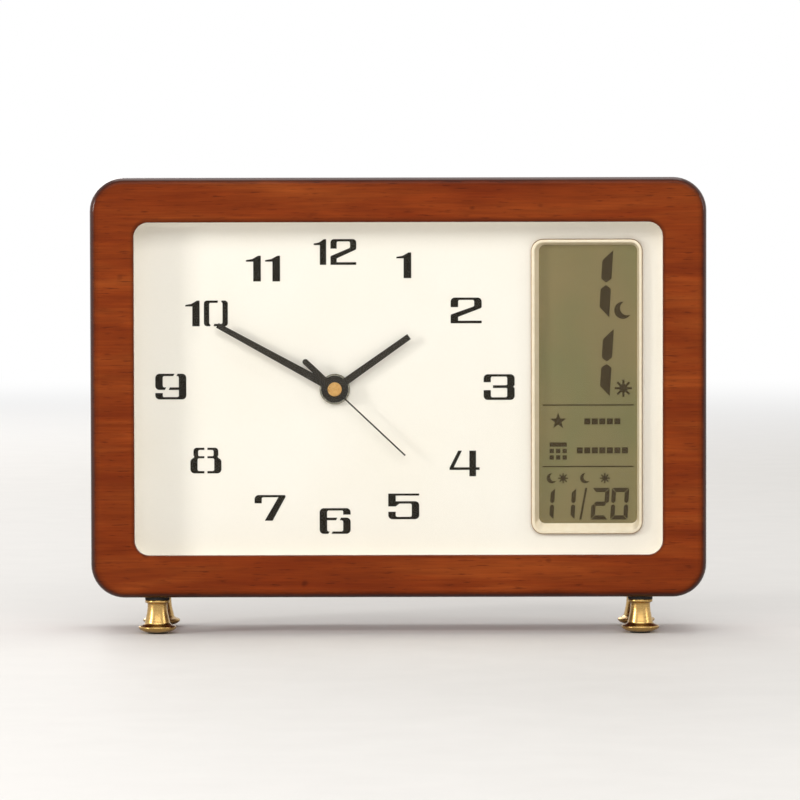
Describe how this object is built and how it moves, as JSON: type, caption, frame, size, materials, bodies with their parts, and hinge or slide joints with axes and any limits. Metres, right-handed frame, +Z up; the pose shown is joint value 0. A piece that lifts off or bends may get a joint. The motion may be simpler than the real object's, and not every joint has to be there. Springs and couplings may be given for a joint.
{
  "type": "desk clock",
  "caption": "Rounded wooden desk clock with a white stencil dial, three hands and an upright calendar display, on four small turned feet.",
  "frame": {"origin": "on the table, under the middle of the case's footprint", "axes": "+X to the viewer's right, +Y away from the viewer into the clock, +Z up"},
  "size_m": [0.22, 0.046, 0.1632],
  "materials": {
    "red_wood": "satin lacquer",
    "pale_wood": "plain",
    "board": "smooth hardboard",
    "screw_steel": "zinc plated",
    "foot_brass": "polished",
    "felt": "felt",
    "glass": "clear",
    "dial_white": "matt",
    "ink": "matt",
    "black_metal": "satin",
    "gold": "satin",
    "nickel": "satin",
    "black_plastic": "fine texture",
    "white_gear": "plain",
    "brass": "plain",
    "dark_rubber": "matt",
    "steel": "plain",
    "copper": "enamelled wire",
    "circuit_green": "solder mask",
    "cell_case": "plain sleeve",
    "lcd_glass": "polariser film",
    "segment": "dark liquid crystal",
    "magnet": "ferrite",
    "switches": "plain"
  },
  "bodies": {
    "case": {"front_frame": "red_wood", "case_body": "red_wood", "case_dowels": "pale_wood", "corner_blocks": "pale_wood", "cover_screws": "screw_steel", "back_cover": "board", "foot_front_left": "foot_brass", "foot_front_right": "foot_brass", "foot_rear_left": "foot_brass", "foot_rear_right": "foot_brass", "foot_washers": "foot_brass", "foot_studs": "screw_steel", "foot_pads": "felt", "glass_lens": "glass", "lens_spacer": "dial_white", "dial_plate": "dial_white", "dial_numerals": "ink", "dial_backer": "board", "backer_screws": "screw_steel", "movement_housing": "black_plastic", "gear_bridge": "white_gear", "movement_back": "black_plastic", "rubber_washer": "dark_rubber", "nut_washer": "nickel", "mounting_nut": "nickel", "stator": "steel", "coil_core": "steel", "coil_winding": "copper", "movement_circuit": "circuit_green", "quartz_crystal": "steel", "battery": "cell_case", "battery_contacts": "brass", "lcd_bezel": "gold", "lcd_panel": "lcd_glass", "lcd_segments": "segment", "zebra_connectors": "dark_rubber", "calendar_housing": "black_plastic", "calendar_circuit": "circuit_green", "tact_switches": "switches", "button_cell": "steel", "battery_door": "black_plastic", "module_screws": "screw_steel"},
    "minute_group": {"minute_hand": "black_metal", "cannon_pinion": "white_gear"},
    "hour_group": {"hour_hand": "black_metal", "hour_wheel": "white_gear"},
    "minute_wheel_group": {"minute_wheel": "white_gear"},
    "setting_group": {"setting_knob": "black_plastic", "setting_shaft": "white_gear"},
    "second_group": {"second_hand": "black_metal", "second_hand_cap": "gold", "second_wheel": "white_gear"},
    "third_group": {"third_wheel": "white_gear"},
    "centre_group": {"centre_wheel": "white_gear"},
    "intermediate_group": {"intermediate_wheel": "white_gear"},
    "rotor_group": {"rotor": "magnet"},
    "mode_key": {"mode_button": "black_plastic"},
    "up_key": {"up_button": "black_plastic"},
    "down_key": {"down_button": "black_plastic"}
  },
  "joints": [
    {"name": "minute_turn", "type": "hinge", "parent": "case", "child": "minute_group", "pos_m": [-0.0228, 0, 0.0875], "axis": [0, 1, 0], "continuous": true},
    {"name": "hour_turn", "type": "hinge", "parent": "case", "child": "hour_group", "pos_m": [-0.0228, 0, 0.0875], "axis": [0, 1, 0], "continuous": true},
    {"name": "minute_wheel_turn", "type": "hinge", "parent": "case", "child": "minute_wheel_group", "pos_m": [-0.0293, 0, 0.0875], "axis": [0, 1, 0], "continuous": true},
    {"name": "setting_turn", "type": "hinge", "parent": "case", "child": "setting_group", "pos_m": [-0.0358, 0, 0.0875], "axis": [0, 1, 0], "continuous": true},
    {"name": "second_turn", "type": "hinge", "parent": "case", "child": "second_group", "pos_m": [-0.0228, 0, 0.0875], "axis": [0, 1, 0], "continuous": true},
    {"name": "third_turn", "type": "hinge", "parent": "case", "child": "third_group", "pos_m": [-0.01787, 0, 0.09455], "axis": [0, 1, 0], "continuous": true},
    {"name": "centre_turn", "type": "hinge", "parent": "case", "child": "centre_group", "pos_m": [-0.0228, 0, 0.0875], "axis": [0, 1, 0], "continuous": true},
    {"name": "intermediate_turn", "type": "hinge", "parent": "case", "child": "intermediate_group", "pos_m": [-0.02842, 0, 0.0942], "axis": [0, 1, 0], "continuous": true},
    {"name": "rotor_turn", "type": "hinge", "parent": "case", "child": "rotor_group", "pos_m": [-0.03622, 0, 0.0987], "axis": [0, 1, 0], "continuous": true},
    {"name": "mode_press", "type": "slide", "parent": "case", "child": "mode_key", "axis": [0, -1, 0], "range_m": [0, 0.0006], "stiffness_N_per_m": 400, "springref_m": -0.0003},
    {"name": "up_press", "type": "slide", "parent": "case", "child": "up_key", "axis": [0, -1, 0], "range_m": [0, 0.0006], "stiffness_N_per_m": 400, "springref_m": -0.0003},
    {"name": "down_press", "type": "slide", "parent": "case", "child": "down_key", "axis": [0, -1, 0], "range_m": [0, 0.0006], "stiffness_N_per_m": 400, "springref_m": -0.0003}
  ],
  "couplings": [
    {"joint": "hour_turn", "follows": "minute_turn", "ratio": 0.083333},
    {"joint": "minute_wheel_turn", "follows": "minute_turn", "ratio": -0.33333},
    {"joint": "setting_turn", "follows": "minute_turn", "ratio": 1},
    {"joint": "third_turn", "follows": "second_turn", "ratio": -0.13333},
    {"joint": "centre_turn", "follows": "second_turn", "ratio": 0.016667},
    {"joint": "intermediate_turn", "follows": "second_turn", "ratio": -6},
    {"joint": "rotor_turn", "follows": "second_turn", "ratio": 30}
  ]
}
